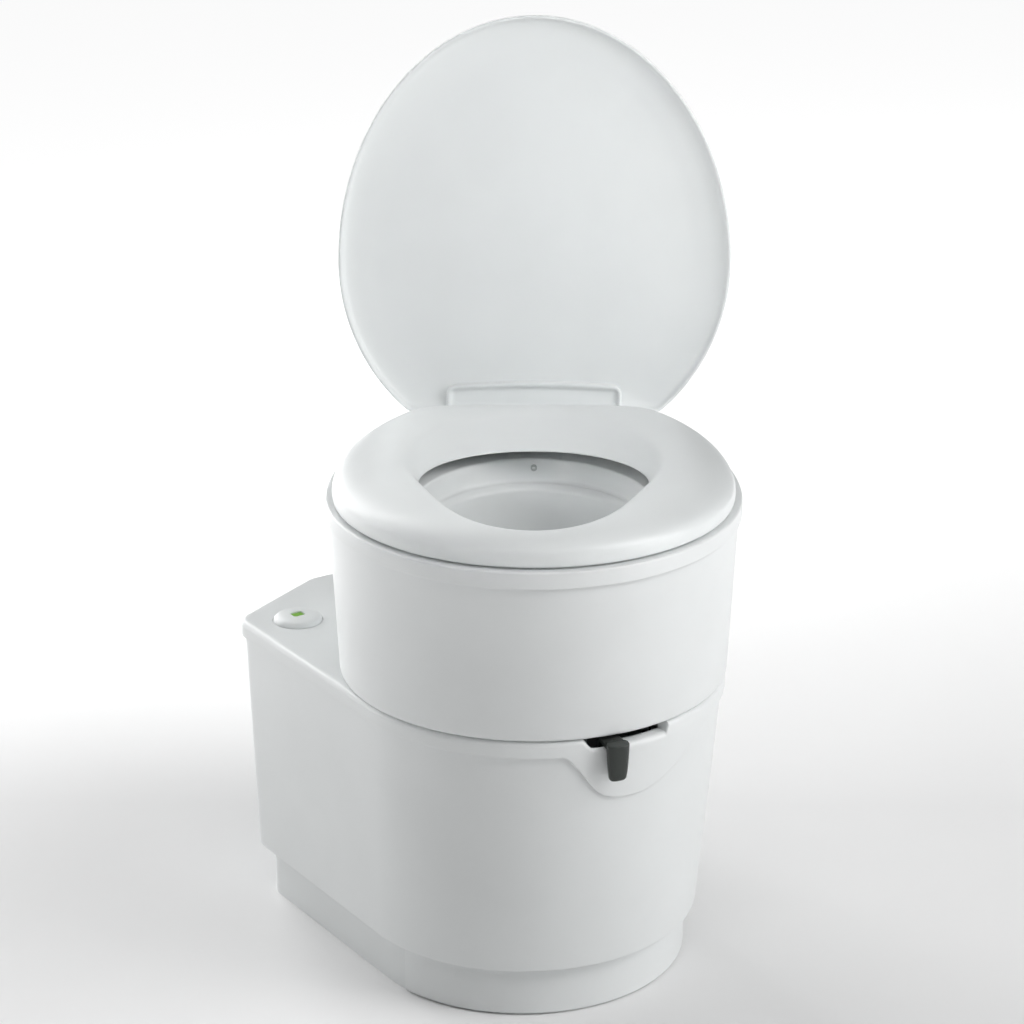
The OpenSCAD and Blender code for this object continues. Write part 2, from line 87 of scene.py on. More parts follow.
# The housing's front is an arc; its radius grows and its centre moves forward from foot to top.
SHELL_LOW_R, SHELL_LOW_Y = 167.8, 16.5
SHELL_GROWS = 10.2
SHELL_HIGH_R = 178


# ---------------------------------------------------------------- materials

def noise(tree, scale, detail=2.0, space=None):
    """A noise texture in the object's own coordinates; scale is in features per metre."""
    place = tree.nodes.new("ShaderNodeTexCoord")
    tex = tree.nodes.new("ShaderNodeTexNoise")
    tex.inputs["Scale"].default_value = scale
    tex.inputs["Detail"].default_value = detail
    if space:
        mapping = tree.nodes.new("ShaderNodeMapping")
        mapping.inputs["Scale"].default_value = space
        tree.links.new(place.outputs["Object"], mapping.inputs["Vector"])
        tree.links.new(mapping.outputs["Vector"], tex.inputs["Vector"])
    else:
        tree.links.new(place.outputs["Object"], tex.inputs["Vector"])
    return tex.outputs["Fac"]


def mapped(tree, value, start, end, low, high):
    """The range from start to end mapped onto low to high, and held there outside it."""
    node = tree.nodes.new("ShaderNodeMapRange")
    node.inputs["From Min"].default_value = start
    node.inputs["From Max"].default_value = end
    node.inputs["To Min"].default_value = low
    node.inputs["To Max"].default_value = high
    tree.links.new(value, node.inputs["Value"])
    return node.outputs["Result"]


def spread(tree, fac, low, high):
    """Maps a noise's middle range onto low to high."""
    return mapped(tree, fac, 0.3, 0.7, low, high)


def finish_of(name, colour, rough, grain=0.0, peel=0.0, vary=0.02, metal=0.0, grain_scale=1500,
              stretch=None, coat=0.0, glow=0.0):
    """A moulded or metal finish: uneven colour and gloss, fine grain, and the ripple of a large moulding."""
    mat = bpy.data.materials.new(name)
    mat.use_nodes = True
    tree = mat.node_tree
    shader = tree.nodes["Principled BSDF"]
    mix = tree.nodes.new("ShaderNodeMix")
    mix.data_type = "RGBA"
    mix.inputs["A"].default_value = (*[c * (1 - vary) for c in colour], 1)
    mix.inputs["B"].default_value = (*[min(1, c * (1 + vary)) for c in colour], 1)
    tree.links.new(spread(tree, noise(tree, 9, 3), 0, 1), mix.inputs["Factor"])
    tree.links.new(mix.outputs["Result"], shader.inputs["Base Color"])
    tree.links.new(spread(tree, noise(tree, 35, 4, stretch), rough * 0.9, rough * 1.1),
                   shader.inputs["Roughness"])
    shader.inputs["Metallic"].default_value = metal
    shader.inputs["Coat Weight"].default_value = coat
    shader.inputs["Coat Roughness"].default_value = 0.12
    if glow:
        shader.inputs["Emission Color"].default_value = (*colour, 1)
        shader.inputs["Emission Strength"].default_value = glow
    normal = None
    # strength, features per metre, depth in metres
    for strength, scale, distance in ((peel, 45, 0.0006), (grain, grain_scale, 0.00006)):
        if not strength:
            continue
        bump = tree.nodes.new("ShaderNodeBump")
        bump.inputs["Strength"].default_value = strength
        bump.inputs["Distance"].default_value = distance
        tree.links.new(noise(tree, scale, 2, stretch), bump.inputs["Height"])
        if normal:
            tree.links.new(normal, bump.inputs["Normal"])
        normal = bump.outputs["Normal"]
    if normal:
        tree.links.new(normal, shader.inputs["Normal"])
    return mat


# name: colour, roughness, grain, ripple, and how much the colour varies
FINISH = {
    "white_plastic": finish_of("white_plastic", (0.83, 0.85, 0.85), 0.34, 0.10, 0.05),
    "seat_plastic": finish_of("seat_plastic", (0.83, 0.855, 0.855), 0.33, 0.06, 0.05),
    "liner_plastic": finish_of("liner_plastic", (0.80, 0.82, 0.82), 0.42, 0.25, 0.05),
    "grip_plastic": finish_of("grip_plastic", (0.03, 0.036, 0.032), 0.22, 0.35, 0.05, 0.06),
    "working_plastic": finish_of("working_plastic", (0.5, 0.52, 0.52), 0.5, 0.4, 0.05, 0.04),
    "tank_plastic": finish_of("tank_plastic", (0.62, 0.65, 0.66), 0.5, 0.6, 0.4, 0.05, grain_scale=700),
    "stainless": finish_of("stainless", (0.62, 0.63, 0.64), 0.34, 0.5, 0, 0.04, metal=1.0,
                           grain_scale=900, stretch=(1, 1, 14)),
    "rubber": finish_of("rubber", (0.02, 0.02, 0.022), 0.7, 0.6, 0, 0.12, grain_scale=1100),
    "lens": finish_of("lens", (0.22, 0.46, 0.08), 0.15, 0.02, 0, 0.1, coat=0.6, glow=0.15),
    "board": finish_of("board", (0.03, 0.16, 0.07), 0.45, 0.3, 0, 0.15),
    "float_foam": finish_of("float_foam", (0.72, 0.68, 0.55), 0.85, 1.0, 0, 0.08, grain_scale=500),
}
# Two nodes with a finish of their own: the lever's arm, made near-black in the grip's finish as painted shade so
# the slot in the deck reads black where it lies in shadow, and the pale pads under the seat.
OWN_FINISH_AND_PAINTED_SHADE = {
    # painted shade: the arm under the slot takes near-black in place of its own grey plastic
    "lever_sector": FINISH["grip_plastic"],
    "seat_buffers": finish_of("pale_rubber", (0.62, 0.64, 0.64), 0.7, 0.6, 0, 0.06, grain_scale=1100),
}


# ---------------------------------------------------------------- mesh tools

def piece(name, mesh_data, body, slot, replaced, place=STILL, sharp=40):
    """An object from (points in mm, faces), in its place, with its finish, riding on its body."""
    points, faces = mesh_data
    mesh = bpy.data.meshes.new(name)
    mesh.from_pydata([place @ Vector(p) * MM for p in points], [], faces)
    mesh.validate()
    mesh.materials.append(FINISH[slot])
    made = bpy.data.objects.new(name, mesh)
    bpy.context.scene.collection.objects.link(made)
    face_out(made)
    mesh.shade_smooth()
    mesh.set_sharp_from_angle(angle=math.radians(sharp))
    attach(made, body)
    if replaced:
        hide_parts(*replaced)
    return made


def face_out(made):
    """Turns every face outwards."""
    work = bmesh.new()
    work.from_mesh(made.data)
    bmesh.ops.remove_doubles(work, verts=work.verts, dist=1e-7)
    bmesh.ops.recalc_face_normals(work, faces=work.faces)
    work.to_mesh(made.data)
    work.free()


def loft(loops, closed=True, wrap=True):
    """A skin through loops of points.

    closed joins the last loop to the first, and wrap joins each loop's ends. What stays open is
    capped: a fan on an end loop, one face on an open side.
    """
    n = len(loops[0])
    points = [Vector(p) for loop in loops for p in loop]
    faces = []
    for i in range(len(loops) if closed else len(loops) - 1):
        j = (i + 1) % len(loops)
        for k in range(n if wrap else n - 1):
            m = (k + 1) % n
            faces.append((i * n + k, i * n + m, j * n + m, j * n + k))
    if not wrap:
        faces.append([i * n for i in range(len(loops))])
        faces.append([i * n + n - 1 for i in reversed(range(len(loops)))])
    elif not closed:
        for i in (0, len(loops) - 1):
            middle = sum((points[i * n + k] for k in range(n)), Vector((0, 0, 0))) / n
            points.append(middle)
            faces += [(i * n + k, i * n + (k + 1) % n, len(points) - 1) for k in range(n)]
    return points, faces


def joined(*parts):
    """Several (points, faces) as one."""
    points, faces = [], []
    for more_points, more_faces in parts:
        faces += [[i + len(points) for i in face] for face in more_faces]
        points += list(more_points)
    return points, faces


def rounded(corners, steps=5, closed=True):
    """A profile through (across, up, radius) corners, each one rounded off."""
    out = []
    for i, (across, up, radius) in enumerate(corners):
        here = Vector((across, up))
        if radius == 0 or (not closed and i in (0, len(corners) - 1)):
            out.append(here)
            continue
        before = Vector(corners[i - 1][:2]) - here
        after = Vector(corners[(i + 1) % len(corners)][:2]) - here
        start = here + before * min(0.5, radius / before.length)
        end = here + after * min(0.5, radius / after.length)
        for k in range(steps + 1):
            t = k / steps
            out.append(start * (1 - t) ** 2 + here * 2 * t * (1 - t) + end * t * t)
    return out


def blended(keys, steps=6):
    """Rows of numbers passing smoothly through the given key rows."""
    rows = []
    for i in range(len(keys) - 1):
        a, b = keys[max(i - 1, 0)], keys[i]
        c, d = keys[i + 1], keys[min(i + 2, len(keys) - 1)]
        for k in range(steps):
            t = k / steps
            rows.append([
                0.5 * (2 * q + (r - p) * t + (2 * p - 5 * q + 4 * r - s) * t * t
                       + (3 * q - p - 3 * r + s) * t ** 3)
                for p, q, r, s in zip(a, b, c, d)])
    rows.append(list(keys[-1]))
    return rows


def under(value, limit, softness):
    """value, held smoothly below limit."""
    room = limit - value
    if room > softness:
        return value
    if room < -softness:
        return limit
    return limit - (room + softness) ** 2 / (4 * softness)


def egg(z, half_width, middle, front, rear, cut=1000, pinch=0, softness=14):
    """Egg loop at height z. front and rear are its extreme y; cut flattens the rear, pinch the front."""
    loop = []
    for k in range(AROUND):
        a = 2 * math.pi * k / AROUND
        c, s = math.cos(a), math.sin(a)
        x = half_width * c
        if s < 0:
            x *= 1 - pinch * (1 - c ** 16)
        y = middle + s * (rear - middle if s > 0 else middle - front)
        loop.append((x, under(y, cut, softness), z))
    return loop


def ring(radius, z):
    """A circle round the swivel's axis at height z."""
    angles = [2 * math.pi * k / AROUND for k in range(AROUND)]
    return [(radius * math.cos(a), radius * math.sin(a), z) for a in angles]


def mixed(a, b, t):
    """The loop that lies t of the way from loop a to loop b."""
    return [Vector(p).lerp(Vector(q), t) for p, q in zip(a, b)]


def turned(profile, centre=(0, 0), closed=False):
    """A solid of revolution from (radius, height) points."""
    return loft([[(centre[0] + x, centre[1] + y, z) for x, y, z in ring(max(r, 0.01), z)]
                 for r, z in profile], closed)


def lozenge(half_x, half_y, z, power=3.0, centre=(0, 0), count=64):
    """A soft-cornered rectangle loop at height z."""
    loop = []
    for k in range(count):
        a = 2 * math.pi * k / count
        c, s = math.cos(a), math.sin(a)
        loop.append((centre[0] + half_x * math.copysign(abs(c) ** (2 / power), c),
                     centre[1] + half_y * math.copysign(abs(s) ** (2 / power), s), z))
    return loop


def plan_point(discs, angle, inset=0):
    """Where the outline stretched round discs (x, y, radius) faces the given angle, inset from it."""
    c, s = math.cos(angle), math.sin(angle)
    x, y, r = max(discs, key=lambda d: d[0] * c + d[1] * s + d[2])
    return x + (r - inset) * c, y + (r - inset) * s


def housing_discs(radius, middle, half_width, back, corner=24, heel=20):
    """The discs that the housing's outline is stretched round: front, two corners, two on the bowed back."""
    discs = [(0, middle, radius)]
    for side in (-1, 1):
        discs.append((side * (half_width - corner), back - corner - 2, corner))
        discs.append((side * 62, back + 24, heel))
    return discs


def cut(made, cutter_data, place=STILL):
    """Takes a solid away from a piece."""
    mesh = bpy.data.meshes.new("cutter")
    mesh.from_pydata([place @ Vector(p) * MM for p in cutter_data[0]], [], cutter_data[1])
    cutter = bpy.data.objects.new("cutter", mesh)
    bpy.context.scene.collection.objects.link(cutter)
    face_out(cutter)
    step = made.modifiers.new("cut", "BOOLEAN")
    step.object = cutter
    step.solver = "EXACT"
    bpy.context.view_layer.update()
    result = bpy.data.meshes.new_from_object(
        made.evaluated_get(bpy.context.evaluated_depsgraph_get()))
    made.modifiers.clear()
    made.data = result
    bpy.data.objects.remove(cutter)
    made.data.set_sharp_from_angle(angle=math.radians(40))


def block(low, high):
    """A plain block between two corners, used to cut with."""
    x, y, z = zip(low, high)
    points = [(x[i], y[j], z[k]) for i in (0, 1) for j in (0, 1) for k in (0, 1)]
    return points, [(0, 1, 3, 2), (4, 6, 7, 5), (0, 4, 5, 1), (2, 3, 7, 6), (0, 2, 6, 4), (1, 5, 7, 3)]


def knuckle(x0, length):
    """A ring round the hinge's axis from x0 on, its edges eased, with a hole for the pin."""
    hole, eased, full, ease = 3.1, 5.9, 6.4, 0.5
    profile = ((0, hole), (0, eased), (ease, full), (length - ease, full), (length, eased), (length, hole))
    angles = [2 * math.pi * k / 40 for k in range(40)]
    return loft([[(x0 + dx, hinge.y + r * math.cos(a), hinge.z + r * math.sin(a)) for a in angles]
                 for dx, r in profile])


def arc_solid(near, far, low, high, start, end):
    """A curved block between two radii and two angles (degrees from the front), used to cut with."""
    loops = []
    for k in range(25):
        a = FRONT + math.radians(start + (end - start) * k / 24)
        c, s = math.cos(a), math.sin(a)
        loops.append([(near * c, near * s, low), (far * c, far * s, low), (far * c, far * s, high),
                      (near * c, near * s, high)])
    return loft(loops, closed=False)


# ---------------------------------------------------------------- housing

def make_shell():
    """The tapering lower housing, open at the back for the tank."""
    low = housing_discs(SHELL_LOW_R, SHELL_LOW_Y, 169, 258)
    high = housing_discs(SHELL_HIGH_R, 0, 177.6, 258.4)
    top_z = DECK_Z - 12.8
    full = top_z + 4.8 - SHELL_Z
    wall, lip = 3, 13
    profile = rounded([(0, SHELL_Z, 1.2), (0, top_z, 0), (wall, top_z, 0), (wall, SHELL_Z + wall, 0),
                       (lip, SHELL_Z + wall, 0), (lip, SHELL_Z, 0)])
    edge = math.radians(86.7)
    half_columns = 118
    angles = [FRONT + edge * 2.04 * (k / half_columns - 1) for k in range(2 * half_columns + 1)]
    loops = []
    for inset, z in profile:
        t = (z - SHELL_Z) / full
        discs = [tuple(a + (b - a) * t for a, b in zip(p, q)) for p, q in zip(low, high)]
        loops.append([(*plan_point(discs, a, inset), z) for a in angles])
    made = piece("housing_shell_smooth", loft(loops, wrap=False), "housing", slot_of["housing_shell"],
                 ["housing_shell"])
    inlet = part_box("inlet_tail")
    middle = (inlet[0] + inlet[1]) / 2 / MM
    behind = 320
    cut(made, block((150, 236, middle.z - 14), (170.5, behind, middle.z + 14)))
    cut(made, block((-155, 200, SHELL_Z - 1), (155, behind, DECK_Z - 5)))
    return made


make_shell()


def make_deck():
    """Deck cover: flat top, rounded band round its edge, the lever's lobe and slot at the front."""
    # the lobe's lowest place and its reach to each side, and the slot's ends, in degrees from the front
    lobe_at, lobe_left, lobe_right = -2, 24, 39
    slot_left, slot_right = -20.3, 8.2
    lobe_drop, slot_drop = 48.8, 9.5
    hole_r, under_z, thin_z = 84, DECK_Z - 13, DECK_Z - 3.3
    band_z = DECK_Z - BAND_H
    lean_h = 6
    corner = DECK_R - 24.4
    discs = [(0, 0, DECK_R), (-corner, 235, 24), (corner, 235, 24), (-62, 285, 20), (62, 285, 20)]
    columns = 480
    count = 16

    def lobe(a):
        """Share of the lobe's drop: steep on the left, drawn out on the right."""
        across = ((lobe_at - a) / lobe_left) ** 1.9 if a < lobe_at else (a - lobe_at) / lobe_right
        return (1 + math.cos(math.pi * min(1, across))) / 2

    def ramp(value, start, end):
        """0 before start, 1 after end, smooth between."""
        t = min(1, max(0, (value - start) / (end - start)))
        return t * t * (3 - 2 * t)

    def slot(a):
        """Share of the slot's depth."""
        return ramp(a, slot_left, slot_left + 3.5) * (1 - ramp(a, slot_right - 0.8, slot_right))

    def shell_face(a, z):
        """Radial reach of the housing's front, plus the lobe's own thickness."""
        t = (z - SHELL_Z) / (DECK_Z - 8 - SHELL_Z)
        return SHELL_LOW_R + SHELL_GROWS * t - SHELL_LOW_Y * (1 - t) * math.cos(math.radians(a)) + 3.2

    loops = [[] for _ in range(12 + count + 4)]
    for k in range(columns):
        angle = 2 * math.pi * k / columns
        a = (math.degrees(angle - FRONT) + 180) % 360 - 180
        low = band_z - lobe_drop * lobe(a)
        high = DECK_Z - slot_drop * slot(a)
        c, s = math.cos(angle), math.sin(angle)

        def on_edge(inset, z):
            """The point of this column that lies inset from the deck's outline."""
            return (*plan_point(discs, angle, inset), z)

        def outer(z, inset=0):
            """The band's face, leaning in to follow the housing where it drops into the lobe."""
            lean = max(0, DECK_R - shell_face(a, z)) if lobe(a) > 0 and z < band_z + lean_h else 0
            return on_edge(lean * min(1, max(0, (band_z + lean_h - z) / lean_h)) + inset, z)

        step = (DECK_Z - high) / max(slot_drop, 1)
        column = [(hole_r * c, hole_r * s, thin_z), (hole_r * c, hole_r * s, DECK_Z - 0.4),
                  (84.6 * c, 84.6 * s, DECK_Z), on_edge(14, DECK_Z), on_edge(11.4, DECK_Z),
                  on_edge(10.8, DECK_Z - 0.5 * step), on_edge(10.6, high + 0.6 * step),
                  on_edge(9.8, high), on_edge(4.5, high), on_edge(2.1, high - 0.5),
                  on_edge(0.6, high - 2), on_edge(0, high - 4.4)]
        start = high - 4.4
        for i in range(1, count + 1):
            z = start + (low + 2 - start) * i / count
            column.append(outer(z))
        column += [outer(low + 0.6, 0.35), outer(low, 1.2), outer(low, 2.9), outer(low + 2.5, 3.2)]
        for loop, point in zip(loops, column):
            loop.append(point)
    under_side = [[], [], []]
    for k in range(columns):
        angle = 2 * math.pi * k / columns
        for loop, inset, z in zip(under_side, (2.6, 12, 12.2), (under_z, under_z, thin_z)):
            loop.append((*plan_point(discs, angle, inset), z))
    made = piece("deck_cover_smooth", loft(loops + under_side), "housing", slot_of["deck_cover"],
                 ["deck_cover"])
    low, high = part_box("flush_button")
    middle = (low + high) / 2 / MM
    cut(made, turned([(24.6, DECK_Z - 30), (24.6, DECK_Z + 20)], (middle.x, middle.y)))
    ledge = DECK_Z - slot_drop
    inside = 150
    cut(made, arc_solid(inside, DECK_R - 9.8, ledge + 0.3, DECK_Z - 3.2, slot_left + 1.2,
                        slot_right - 0.6))
    cut(made, arc_solid(inside, DECK_R - 3.6, ledge - 9, DECK_Z - 3.6, slot_left + 1.8, -6.4))
    return made


make_deck()


def make_plinth():
    """Curved front of the plinth, a little proud of the pan behind it."""
    low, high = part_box("plinth_front")
    arc = [(0, 18.6, 158.1)]
    thick, half_columns = 3.4, 80
    angles = [FRONT + math.radians(78) * (k / half_columns - 1) for k in range(2 * half_columns + 1)]
    profile = rounded([(0, low.z / MM, 1.5), (0, high.z / MM, 0.6), (thick, high.z / MM, 0.4),
                       (thick, low.z / MM, 0.4)])
    loops = [[(*plan_point(arc, a, inset), z) for a in angles] for inset, z in profile]
    return piece("plinth_front_smooth", loft(loops, wrap=False), "housing", slot_of["plinth_front"],
                 ["plinth_front"])


make_plinth()


# ---------------------------------------------------------------- bowl

def make_turret():
    """Outside of the bowl: a circle on the deck growing into an egg under the rim."""
    foot_r, hole_r = 181.7, 101
    wall, floor = 3, 4
    grown = CASING_Z - TURRET_Z

    def outline(inset, z):
        """The turret's outline at height z, inset from its outside."""
        low = ring(foot_r - inset, z)
        high = egg(z, 189 - inset, 0, -203 + inset, 255 - inset, 205 - inset)
        return mixed(low, high, (z - TURRET_Z) / grown)

    profile = rounded([(0, TURRET_Z, 4.5), (0, CASING_Z, 0), (wall, CASING_Z, 0),
                       (wall, TURRET_Z + floor, 0), (foot_r - hole_r, TURRET_Z + floor, 0),
                       (foot_r - hole_r, TURRET_Z, 0)])
    return piece("bowl_casing_smooth", loft([outline(i, z) for i, z in profile]), "bowl",
                 slot_of["bowl_casing"], ["bowl_casing"], BOWL)


make_turret()


def make_rim():
    """Trim band round the top of the bowl, with a low ledge outside the seat."""
    ledge = RIM_Z - 4.2
    outside = rounded([(3, CASING_Z, 0), (0, CASING_Z, 1.2), (0, ledge, 2.2), (10.6, ledge, 0.6),
                       (11.6, RIM_Z, 0.8), (14, RIM_Z, 0)], closed=False)
    loops = [egg(z, 192 - i, 0, -206 + i, 262 - i, 209 - i) for i, z in outside]
    loops += [ring(177.2, RIM_Z), ring(176.5, RIM_Z - 0.8), ring(176.5, CASING_Z + 8),
              ring(181, CASING_Z + 8), ring(181, CASING_Z)]
    made = piece("rim_ring_smooth", loft(loops), "bowl", slot_of["rim_ring"], ["rim_ring"], BOWL)
    cut(made, block((-100, 189, RIM_Z - 9), (100, 230, RIM_Z + 1)), BOWL)
    return made


make_rim()


def make_basin():
    """Inside of the bowl: the well, its ledge, and an upper wall that runs further to the front."""
    ledge_z, wall_h = 438, 22

    def upper(z, grown=0.0):
        """The upper wall's outline at height z."""
        t = (z - ledge_z) / wall_h
        return egg(z, 108 + 5 * t + grown, -20 - 5 * t, -152 - 14 * t - grown, 108 + 6 * t + grown)

    well = rounded([(42, 268.6, 0.8), (42, 312, 4), (50, 322, 6), (66, 338, 8), (84, 372, 14),
                    (93, 410, 14), (96, 434, 3), (101, 438, 2), (104, 438.6, 0)], 4, closed=False)
    outside = rounded([(104, 435.6, 0), (99.5, 434, 2), (96.5, 409, 8), (87.5, 370, 10),
                       (69, 335.5, 6), (53, 319.5, 4), (46, 310.5, 4), (46, 268.6, 0.8)], 4, closed=False)
    loops = [ring(r, z) for r, z in well]
    loops += [upper(438.8, -2.2), upper(439.6, -0.8), upper(441.4), upper(450), upper(458.2),
              upper(459.4, 0.5), upper(460, 1.6), ring(180.2, 460), ring(180.5, 459.6),
              ring(180.5, 457), upper(457, 4)]
    loops += [upper(450, 3), upper(441, 3), upper(437, 2), upper(435.8, 0)]
    loops += [ring(r, z) for r, z in outside]
    return piece("bowl_basin_smooth", loft(loops), "bowl", slot_of["bowl_basin"], ["bowl_basin"], BOWL)


make_basin()


# ---------------------------------------------------------------- seat and lid

def make_seat():
    """Seat ring: a skirt over the rim's ledge, a slope up to the crest, a scoop behind the hole."""
    under_z = RIM_Z + 2.6
    skirt_z = RIM_Z - 1.6
    # height, half width, y of the widest place, front, rear, cut, pinch
    over = blended([
        (skirt_z, 182.6, -10, -198.6, 250, 187, 0),
        (skirt_z + 0.8, 184.2, -10, -200.4, 253, 189, 0),
        (under_z + 3.4, 184.6, -10, -200.2, 254, 190, 0),
        (under_z + 9.4, 182.5, -10, -198, 250, 188.4, 0),
        (under_z + 14.4, 174, -9, -193.5, 238, 184, 0),
        (under_z + 18.4, 157, -7, -188, 218, 176, 0.02),
        (under_z + 20.9, 138, -3, -181.5, 190, 169, 0.06),
        (under_z + 21.2, 126, 2, -177.5, 168, 166, 0.10),
        (under_z + 19.6, 118.5, 5, -173.5, 155, 166, 0.12),
        (under_z + 15.4, 113.5, 6, -170, 143, 166, 0.12),
        (under_z + 8.4, 109.5, 3, -165, 121, 166, 0.12),
        (under_z + 2.2, 106.5, 0, -161, 96, 166, 0.12),
        (under_z + 0.2, 106.6, 0, -161, 92, 166, 0.12),
        (under_z + 0.1, 108.5, 0, -163, 93, 166, 0.12)], 5)
    hollow = [(under_z + 1.6, 110, 0, -164, 97, 166, 0.12), (under_z + 12.5, 117, 2, -170, 146, 166, 0.10),
              (under_z + 17, 128, -4, -177, 175, 163, 0.06), (under_z + 14, 158, -9, -185, 215, 172, 0.02),
              (under_z + 8, 178, -10, -193.5, 244, 184, 0), (skirt_z, 181, -10, -197, 248, 185.8, 0)]
    loops = [egg(*row) for row in over + hollow]
    ears = []
    ear_width = 10
    for side in (-1, 1):
        x0 = side * 62 - 5
        ears.append(knuckle(x0, ear_width))
        ears.append(block((x0, 180, under_z + 0.2), (x0 + ear_width, hinge.y, under_z + 4.6)))
    return piece("seat_smooth", joined(loft(loops), *ears), "seat", slot_of["seat"], ["seat"], BOWL)


make_seat()


def domed(edge, steps):
    """Smaller and smaller copies of a loop, each a (share, rise), closing the middle of the lid."""
    middle = 30
    return [[(x * share, middle + (y - middle) * share, z + rise) for x, y, z in edge]
            for share, rise in steps]


def make_lid():
    """Lid, drawn closed: crowned top, thin lip, and a shallow dish inside."""
    z0 = 494        # foot of the lip
    # height, half width, y of the widest place, front, rear, cut
    skin = blended([
        (z0, 192.2, 49, -189.2, 244.2, 198.2),
        (z0 + 1.5, 193, 49, -190, 245, 199),
        (z0 + 9, 191.5, 49, -188.5, 243.5, 198.2),
        (z0 + 14, 188, 49, -184, 240, 196.5),
        (z0 + 18, 180, 49, -175, 232, 193),
        (z0 + 20.4, 162, 49, -157, 214, 186)], 5)
    loops = [egg(z, hw, mid, front, rear, c, 0, 4) for z, hw, mid, front, rear, c in skin]
    loops += domed(loops[-1], ((0.85, 0.35), (0.65, 0.5), (0.45, 0.58), (0.25, 0.6), (0.08, 0.6)))
    loops.reverse()
    inner = blended([
        (z0 - 0.1, 190.6, 49, -187.6, 242.6, 196.6),
        (z0 + 0.9, 189.4, 49, -186.4, 241.4, 195.4),
        (z0 + 4.5, 186.6, 49, -183.6, 238.6, 193),
        (z0 + 7.6, 178, 49, -175, 230, 189),
        (z0 + 9.8, 166, 49, -163, 218, 183),
        (z0 + 11.6, 154, 49, -151, 206, 177),
        (z0 + 12.4, 138, 49, -135, 190, 169)], 5)
    loops += [egg(z, hw, mid, front, rear, c, 0, 5) for z, hw, mid, front, rear, c in inner]
    loops += domed(loops[-1], ((0.85, 0.7), (0.65, 1.2), (0.45, 1.5), (0.25, 1.65), (0.08, 1.7)))
    return piece("lid_smooth", loft(loops, closed=False), "lid", slot_of["lid"], ["lid"], LID)


make_lid()


def make_hinge_bar():
    """Hinge bar on the lid: a bowed ridge on two legs, a panel between, and a knuckle on each leg."""
    half, bow, corner_r = 87, 3, 9
    y_top, y_low = 169.5, 209
    steps, back_z = 8, 508
    path = [(-half, y_low)]
    path += [(-half, y_low + (y_top + bow + corner_r - y_low) * k / steps) for k in range(1, steps + 1)]
    for k in range(1, steps + 1):
        a = math.radians(90) * k / steps
        path.append((-half + corner_r * (1 - math.cos(a)), y_top + bow + corner_r * (1 - math.sin(a))))
    flat = half - corner_r
    for k in range(1, 24):
        x = -flat + flat * 2 * k / 24
        path.append((x, y_top + bow * (x / flat) ** 2))
    path += [(-x, y) for x, y in reversed(path[:2 * steps + 1])]

    def offset(inset, z):
        """The path moved inwards, towards the panel."""
        out = []
        for i, (x, y) in enumerate(path):
            px, py = path[max(i - 1, 0)]
            qx, qy = path[min(i + 1, len(path) - 1)]
            along = Vector((qx - px, qy - py)).normalized()
            out.append((x - along.y * inset, y + along.x * inset, z))
        return out

    section = [(0, back_z), (0, 498.4), (0.5, 497.2), (1.6, 496.6), (3.2, 496.9), (4.4, 497.9),
               (5.2, 499.4), (6.4, 500.3), (8.5, 500.8)]
    loops = [offset(i, z) for i, z in section]
    inner = loops[-1]
    for share in (0.25, 0.5, 0.75, 0.97):
        loops.append([(x, y + (y_low - 4 - y) * share, z - 1.2 * math.sin(math.pi * share) + share)
                      for x, y, z in inner])
    loops.append([(x, y_low - 3, back_z) for x, y, z in inner])
    knuckles = []
    leg_width = 8
    for side in (-1, 1):
        x0 = side * 83 - 4
        knuckles.append(knuckle(x0, leg_width))
        knuckles.append(block((x0, 196, hinge.z + 4), (x0 + leg_width, 205.5, 500)))
    return piece("lid_hinge_bar_smooth", joined(loft(loops, wrap=False), *knuckles), "lid",
                 slot_of["lid_hinge_bar"], ["lid_hinge_bar"], LID, sharp=50)


make_hinge_bar()


# ---------------------------------------------------------------- controls

def make_button():
    """Flush button, a low dome with a recess for its light, and the green light."""
    low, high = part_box("flush_button")
    middle = (low + high) / 2 / MM
    at = (middle.x, middle.y)
    z = DECK_Z
    profile = rounded([(0, z - 5.9, 0), (24, z - 5.9, 0.5), (24, z + 1.4, 2.5), (21, z + 4.6, 3.5),
                       (12, z + 6.1, 6), (0, z + 6.3, 0)], 6, closed=False)
    button = piece("flush_button_smooth", turned(profile, at), "flush_button", slot_of["flush_button"],
                   ["flush_button"])
    window = [lozenge(6.4, 5.6, h, 5, at) for h in (z + 4.2, z + 20)]
    cut(button, loft(window, closed=False))
    lens = [lozenge(6.2 - d, 5.4 - d, h, 5, at) for d, h in
            ((0, z + 4.2), (0, z + 4.9), (0.3, z + 5.2), (1.2, z + 5.35), (4, z + 5.4))]
    piece("led_lens_smooth", loft(lens, closed=False), "flush_button", slot_of["led_lens"], ["led_lens"])


make_button()


